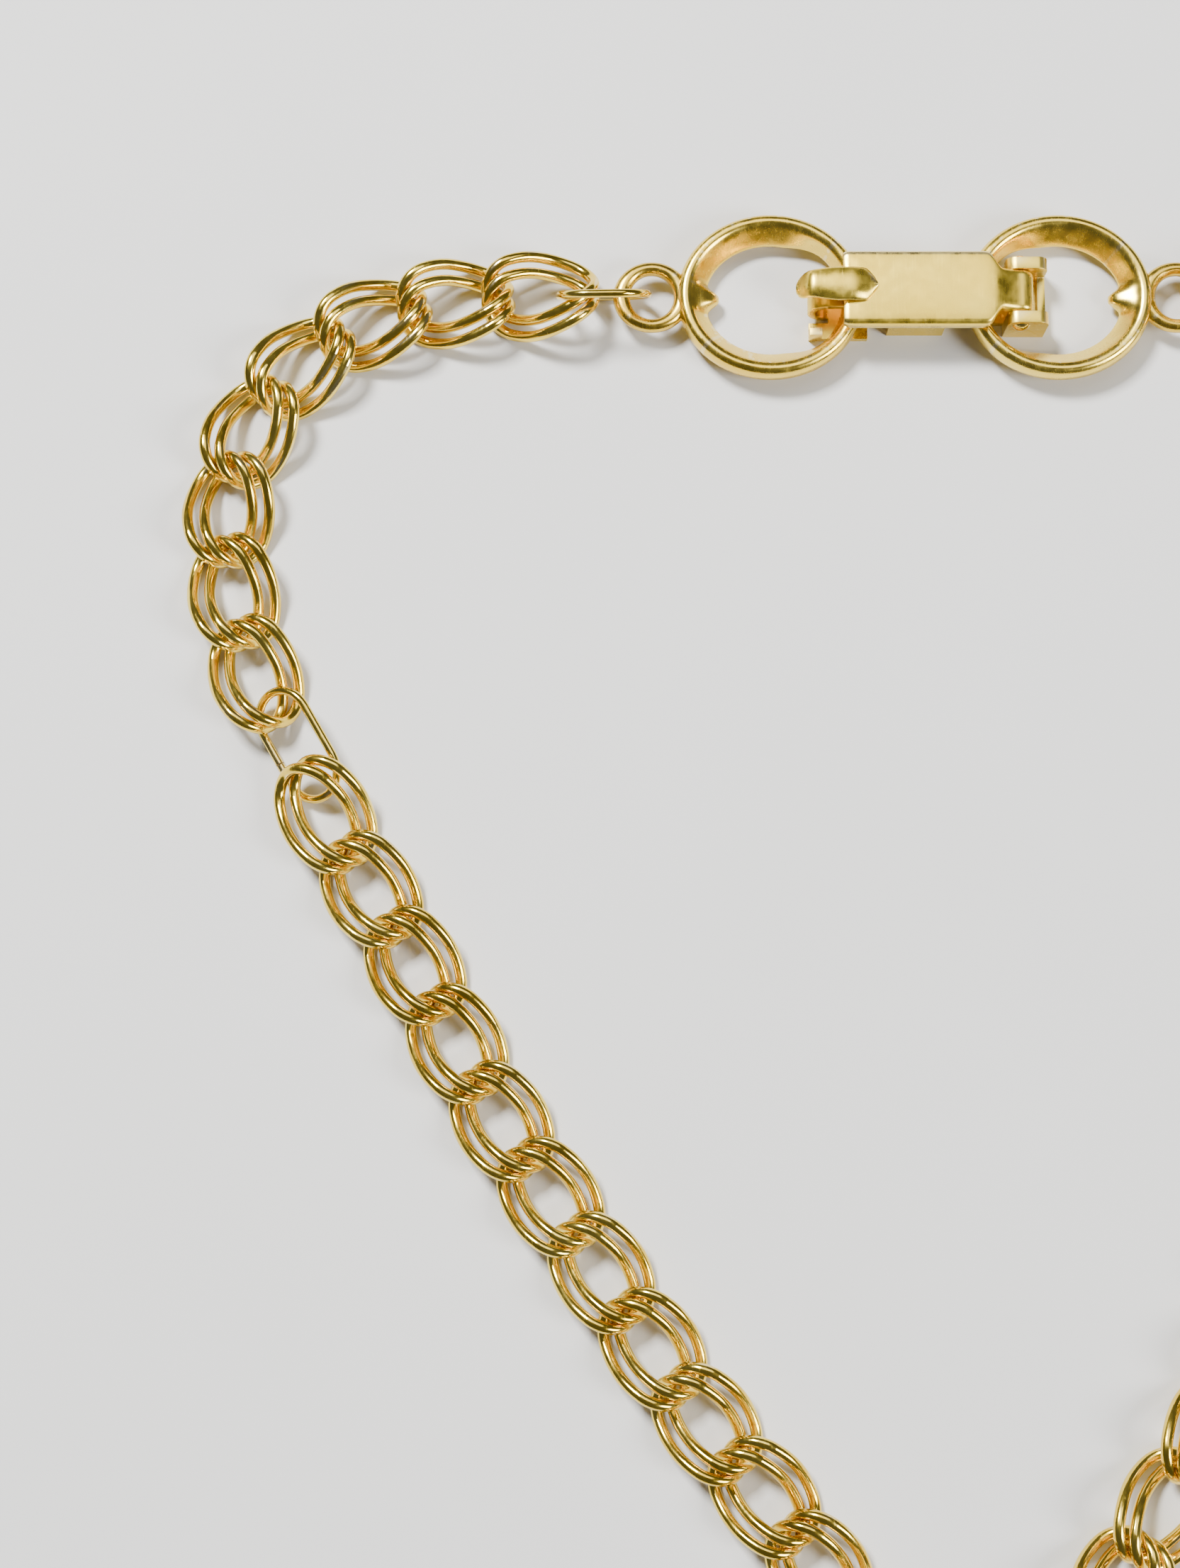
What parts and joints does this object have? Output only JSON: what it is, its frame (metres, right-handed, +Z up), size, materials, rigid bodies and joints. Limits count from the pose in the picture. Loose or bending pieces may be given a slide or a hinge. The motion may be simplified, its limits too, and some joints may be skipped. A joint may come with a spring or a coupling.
{
  "type": "eyeglasses chain strap",
  "caption": "Eyeglass retainer chain: double twisted-oval links, fold-over clasp between two oval frames, soft temple loops with slide beads at both ends.",
  "frame": {"origin": "underside of the clasp base strip, midway between the two oval frames, on the surface the chain lies on", "axes": "+X from the left frame to the right frame along the clasp, +Y away from the temple loops, +Z up off the surface"},
  "size_m": [0.0866, 0.2716, 0.0041],
  "materials": {
    "cast_gold": "polished, yellow gold tone",
    "sheet_gold": "polished, yellow gold tone",
    "pin_gold": "polished, yellow gold tone",
    "fitting_gold": "polished, yellow gold tone",
    "jump_gold": "polished, yellow gold tone",
    "chain_gold": "polished, yellow gold tone",
    "loop_rubber": "matte black silicone"
  },
  "bodies": {
    "clasp": {"clasp_base": "sheet_gold", "hinge_pin": "pin_gold", "keeper_strap": "sheet_gold"},
    "cover": {"clasp_cover": "sheet_gold"},
    "frame_left": {"frame_left": "cast_gold", "eye_left": "cast_gold"},
    "frame_right": {"frame_right": "cast_gold", "eye_right": "cast_gold"},
    "clasp_ring_left": {"clasp_ring_left": "jump_gold"},
    "left_pair_01": {"left_pair_01": "chain_gold"},
    "left_pair_02": {"left_pair_02": "chain_gold"},
    "left_pair_03": {"left_pair_03": "chain_gold"},
    "left_pair_04": {"left_pair_04": "chain_gold"},
    "left_pair_05": {"left_pair_05": "chain_gold"},
    "left_pair_06": {"left_pair_06": "chain_gold"},
    "left_pair_07": {"left_pair_07": "chain_gold"},
    "left_pair_08": {"left_pair_08": "chain_gold"},
    "left_pair_09": {"left_pair_09": "chain_gold"},
    "mid_ring_left": {"mid_ring_left": "jump_gold"},
    "left_pair_10": {"left_pair_10": "chain_gold"},
    "left_pair_11": {"left_pair_11": "chain_gold"},
    "left_pair_12": {"left_pair_12": "chain_gold"},
    "left_pair_13": {"left_pair_13": "chain_gold"},
    "left_pair_14": {"left_pair_14": "chain_gold"},
    "left_pair_15": {"left_pair_15": "chain_gold"},
    "left_pair_16": {"left_pair_16": "chain_gold"},
    "left_pair_17": {"left_pair_17": "chain_gold"},
    "left_pair_18": {"left_pair_18": "chain_gold"},
    "left_pair_19": {"left_pair_19": "chain_gold"},
    "left_pair_20": {"left_pair_20": "chain_gold"},
    "left_run_1": {"left_run_1": "chain_gold"},
    "left_run_2": {"left_run_2": "chain_gold"},
    "left_run_3": {"left_run_3": "chain_gold"},
    "left_run_4": {"left_run_4": "chain_gold"},
    "left_run_5": {"left_run_5": "chain_gold"},
    "end_ring_left": {"end_ring_left": "jump_gold"},
    "end_cap_left": {"end_cap_left": "fitting_gold", "temple_loop_left": "loop_rubber"},
    "slide_bead_left": {"slide_bead_left": "fitting_gold"},
    "clasp_ring_right": {"clasp_ring_right": "jump_gold"},
    "right_run_1": {"right_run_1": "chain_gold"},
    "right_run_2": {"right_run_2": "chain_gold"},
    "right_run_3": {"right_run_3": "chain_gold"},
    "mid_ring_right": {"mid_ring_right": "jump_gold"},
    "right_run_4": {"right_run_4": "chain_gold"},
    "right_pair_17": {"right_pair_17": "chain_gold"},
    "right_pair_18": {"right_pair_18": "chain_gold"},
    "right_pair_19": {"right_pair_19": "chain_gold"},
    "right_run_5": {"right_run_5": "chain_gold"},
    "right_run_6": {"right_run_6": "chain_gold"},
    "right_run_7": {"right_run_7": "chain_gold"},
    "right_run_8": {"right_run_8": "chain_gold"},
    "right_run_9": {"right_run_9": "chain_gold"},
    "end_ring_right": {"end_ring_right": "jump_gold"},
    "end_cap_right": {"end_cap_right": "fitting_gold", "temple_loop_right": "loop_rubber"},
    "slide_bead_right": {"slide_bead_right": "fitting_gold"}
  },
  "joints": [
    {"name": "cover_hinge", "type": "hinge", "parent": "clasp", "child": "cover", "pos_m": [0.00612, 0, 0.00195], "axis": [0, 1, 0], "range_deg": [0, 105]},
    {"name": "frame_left_swing", "type": "hinge", "parent": "clasp", "child": "frame_left", "pos_m": [-0.00358, 0, 0.00136], "axis": [0, 1, 0], "range_deg": [-12, 12]},
    {"name": "frame_right_swing", "type": "hinge", "parent": "clasp", "child": "frame_right", "pos_m": [0.00358, 0, 0.00136], "axis": [0, 1, 0], "range_deg": [-12, 12]},
    {"name": "clasp_ring_left_swing", "type": "hinge", "parent": "frame_left", "child": "clasp_ring_left", "pos_m": [-0.01725, 0, 0.00126], "axis": [0, 1, 0], "range_deg": [-6, 6]},
    {"name": "left_pair_01_fold", "type": "hinge", "parent": "clasp_ring_left", "child": "left_pair_01", "pos_m": [-0.01878, 0.00006, 0.00183], "axis": [0.0174, -0.9998, 0], "range_deg": [-5, 5]},
    {"name": "left_pair_02_fold", "type": "hinge", "parent": "left_pair_01", "child": "left_pair_02", "pos_m": [-0.02445, -0.00004, 0.00123], "axis": [0.0611, -0.9981, 0], "range_deg": [-8, 10]},
    {"name": "left_pair_03_turn", "type": "hinge", "parent": "left_pair_02", "child": "left_pair_03", "pos_m": [-0.02942, -0.00057, 0.00123], "axis": [0, 0, 1], "range_deg": [-15, 0]},
    {"name": "left_pair_04_turn", "type": "hinge", "parent": "left_pair_03", "child": "left_pair_04", "pos_m": [-0.03409, -0.00236, 0.00123], "axis": [0, 0, 1], "range_deg": [-22, 0]},
    {"name": "left_pair_05_turn", "type": "hinge", "parent": "left_pair_04", "child": "left_pair_05", "pos_m": [-0.03775, -0.00577, 0.00123], "axis": [0, 0, 1], "range_deg": [-22, 0]},
    {"name": "left_pair_06_turn", "type": "hinge", "parent": "left_pair_05", "child": "left_pair_06", "pos_m": [-0.03986, -0.0103, 0.00123], "axis": [0, 0, 1], "range_deg": [-22, 0]},
    {"name": "left_pair_07_turn", "type": "hinge", "parent": "left_pair_06", "child": "left_pair_07", "pos_m": [-0.04012, -0.01529, 0.00123], "axis": [0, 0, 1], "range_deg": [-14, 0]},
    {"name": "left_pair_08_fold", "type": "hinge", "parent": "left_pair_07", "child": "left_pair_08", "pos_m": [-0.03917, -0.0202, 0.00123], "axis": [-0.9636, -0.2672, 0], "range_deg": [-10, 10]},
    {"name": "mid_ring_left_fold", "type": "hinge", "parent": "left_pair_08", "child": "mid_ring_left", "pos_m": [-0.03723, -0.02553, 0.00123], "axis": [0.866, 0.5, 0], "range_deg": [-6, 6]},
    {"name": "left_pair_09_fold", "type": "hinge", "parent": "mid_ring_left", "child": "left_pair_09", "pos_m": [-0.03567, -0.02799, 0.00193], "axis": [0.866, 0.5, 0], "range_deg": [-5, 2]},
    {"name": "left_pair_10_fold", "type": "hinge", "parent": "left_pair_09", "child": "left_pair_10", "pos_m": [-0.03284, -0.0329, 0.00123], "axis": [0.8572, 0.515, 0], "range_deg": [-8, 10]},
    {"name": "left_pair_11_fold", "type": "hinge", "parent": "left_pair_10", "child": "left_pair_11", "pos_m": [-0.03019, -0.03714, 0.00123], "axis": [-0.8616, -0.5075, 0], "range_deg": [-10, 10]},
    {"name": "left_pair_12_fold", "type": "hinge", "parent": "left_pair_11", "child": "left_pair_12", "pos_m": [-0.02776, -0.04152, 0.00123], "axis": [0.8746, 0.4848, 0], "range_deg": [-10, 10]},
    {"name": "left_pair_13_fold", "type": "hinge", "parent": "left_pair_12", "child": "left_pair_13", "pos_m": [-0.02534, -0.04589, 0.00123], "axis": [-0.8616, -0.5075, 0], "range_deg": [-10, 10]},
    {"name": "left_pair_14_fold", "type": "hinge", "parent": "left_pair_13", "child": "left_pair_14", "pos_m": [-0.02269, -0.05013, 0.00123], "axis": [0.8339, 0.5519, 0], "range_deg": [-10, 10]},
    {"name": "left_pair_15_fold", "type": "hinge", "parent": "left_pair_14", "child": "left_pair_15", "pos_m": [-0.01982, -0.05422, 0.00123], "axis": [-0.8241, -0.5664, 0], "range_deg": [-10, 10]},
    {"name": "left_pair_16_fold", "type": "hinge", "parent": "left_pair_15", "child": "left_pair_16", "pos_m": [-0.01703, -0.05837, 0.00123], "axis": [0.8241, 0.5664, 0], "range_deg": [-10, 10]},
    {"name": "left_pair_17_fold", "type": "hinge", "parent": "left_pair_16", "child": "left_pair_17", "pos_m": [-0.01416, -0.06246, 0.00123], "axis": [-0.8039, -0.5948, 0], "range_deg": [-10, 10]},
    {"name": "left_pair_18_fold", "type": "hinge", "parent": "left_pair_17", "child": "left_pair_18", "pos_m": [-0.01108, -0.06641, 0.00123], "axis": [0.7771, 0.6293, 0], "range_deg": [-10, 10]},
    {"name": "left_pair_19_fold", "type": "hinge", "parent": "left_pair_18", "child": "left_pair_19", "pos_m": [-0.00787, -0.07024, 0.00123], "axis": [-0.7986, -0.6018, 0], "range_deg": [-10, 10]},
    {"name": "left_pair_20_turn", "type": "hinge", "parent": "left_pair_19", "child": "left_pair_20", "pos_m": [-0.00507, -0.07438, 0.00123], "axis": [0, 0, 1], "range_deg": [0, 6]},
    {"name": "left_run_1_turn", "type": "hinge", "parent": "left_pair_20", "child": "left_run_1", "pos_m": [-0.00336, -0.07908, 0.00123], "axis": [0, 0, 1], "range_deg": [0, 9]},
    {"name": "left_run_2_fold", "type": "hinge", "parent": "left_run_1", "child": "left_run_2", "pos_m": [-0.00854, -0.10838, 0.00123], "axis": [0.9816, -0.1908, 0], "range_deg": [-10, 10]},
    {"name": "left_run_3_fold", "type": "hinge", "parent": "left_run_2", "child": "left_run_3", "pos_m": [-0.01426, -0.13783, 0.00123], "axis": [-0.9816, 0.1908, 0], "range_deg": [-10, 10]},
    {"name": "left_run_4_fold", "type": "hinge", "parent": "left_run_3", "child": "left_run_4", "pos_m": [-0.01999, -0.16728, 0.00123], "axis": [0.9816, -0.1908, 0], "range_deg": [-10, 10]},
    {"name": "left_run_5_fold", "type": "hinge", "parent": "left_run_4", "child": "left_run_5", "pos_m": [-0.02571, -0.19673, 0.00123], "axis": [-0.9816, 0.1908, 0], "range_deg": [-10, 10]},
    {"name": "end_ring_left_fold", "type": "hinge", "parent": "left_run_5", "child": "end_ring_left", "pos_m": [-0.03157, -0.22684, 0.00123], "axis": [0.9816, -0.1908, 0], "range_deg": [-6, 6]},
    {"name": "end_cap_left_fold", "type": "hinge", "parent": "end_ring_left", "child": "end_cap_left", "pos_m": [-0.03194, -0.22878, 0.00123], "axis": [0.9816, -0.1908, 0], "range_deg": [-6, 6]},
    {"name": "slide_bead_left_slide", "type": "slide", "parent": "end_cap_left", "child": "slide_bead_left", "axis": [-0.1908, -0.9816, 0], "range_m": [0, 0.0045]},
    {"name": "clasp_ring_right_swing", "type": "hinge", "parent": "frame_right", "child": "clasp_ring_right", "pos_m": [0.01725, 0, 0.00126], "axis": [0, 1, 0], "range_deg": [-6, 6]},
    {"name": "right_run_1_fold", "type": "hinge", "parent": "clasp_ring_right", "child": "right_run_1", "pos_m": [0.01878, 0.00006, 0.00183], "axis": [0.0174, 0.9998, 0], "range_deg": [-5, 5]},
    {"name": "right_run_2_turn", "type": "hinge", "parent": "right_run_1", "child": "right_run_2", "pos_m": [0.03795, -0.00549, 0.00123], "axis": [0, 0, 1], "range_deg": [0, 22]},
    {"name": "mid_ring_right_fold", "type": "hinge", "parent": "right_run_2", "child": "mid_ring_right", "pos_m": [0.03828, -0.02517, 0.00123], "axis": [0.891, -0.454, 0], "range_deg": [-6, 6]},
    {"name": "right_run_3_fold", "type": "hinge", "parent": "mid_ring_right", "child": "right_run_3", "pos_m": [0.03688, -0.02772, 0.00193], "axis": [0.891, -0.454, 0], "range_deg": [-5, 2]},
    {"name": "right_run_4_fold", "type": "hinge", "parent": "right_run_3", "child": "right_run_4", "pos_m": [0.02703, -0.04589, 0.00123], "axis": [0.8616, -0.5075, 0], "range_deg": [-10, 10]},
    {"name": "right_pair_17_fold", "type": "hinge", "parent": "right_run_4", "child": "right_pair_17", "pos_m": [0.01643, -0.06284, 0.00123], "axis": [-0.8387, 0.5446, 0], "range_deg": [-10, 10]},
    {"name": "right_pair_18_fold", "type": "hinge", "parent": "right_pair_17", "child": "right_pair_18", "pos_m": [0.01371, -0.06704, 0.00123], "axis": [0.8387, -0.5446, 0], "range_deg": [-10, 10]},
    {"name": "right_pair_19_fold", "type": "hinge", "parent": "right_pair_18", "child": "right_pair_19", "pos_m": [0.01099, -0.07123, 0.00123], "axis": [-0.8387, 0.5446, 0], "range_deg": [-10, 10]},
    {"name": "right_run_5_fold", "type": "hinge", "parent": "right_pair_19", "child": "right_run_5", "pos_m": [0.00826, -0.07542, 0.00123], "axis": [0.8387, -0.5446, 0], "range_deg": [-10, 10]},
    {"name": "right_run_6_fold", "type": "hinge", "parent": "right_run_5", "child": "right_run_6", "pos_m": [0.00574, -0.104, 0.00123], "axis": [-0.9781, -0.2079, 0], "range_deg": [-10, 10]},
    {"name": "right_run_7_fold", "type": "hinge", "parent": "right_run_6", "child": "right_run_7", "pos_m": [0.01112, -0.13351, 0.00123], "axis": [0.9848, 0.1736, 0], "range_deg": [-10, 10]},
    {"name": "right_run_8_fold", "type": "hinge", "parent": "right_run_7", "child": "right_run_8", "pos_m": [0.01633, -0.16306, 0.00123], "axis": [-0.9848, -0.1736, 0], "range_deg": [-10, 10]},
    {"name": "right_run_9_fold", "type": "hinge", "parent": "right_run_8", "child": "right_run_9", "pos_m": [0.02154, -0.1926, 0.00123], "axis": [0.9848, 0.1736, 0], "range_deg": [-10, 10]},
    {"name": "end_ring_right_fold", "type": "hinge", "parent": "right_run_9", "child": "end_ring_right", "pos_m": [0.02773, -0.22773, 0.00123], "axis": [0.9848, 0.1736, 0], "range_deg": [-6, 6]},
    {"name": "end_cap_right_fold", "type": "hinge", "parent": "end_ring_right", "child": "end_cap_right", "pos_m": [0.02808, -0.22968, 0.00123], "axis": [0.9848, 0.1736, 0], "range_deg": [-6, 6]},
    {"name": "slide_bead_right_slide", "type": "slide", "parent": "end_cap_right", "child": "slide_bead_right", "axis": [0.1736, -0.9848, 0], "range_m": [0, 0.0045]}
  ]
}
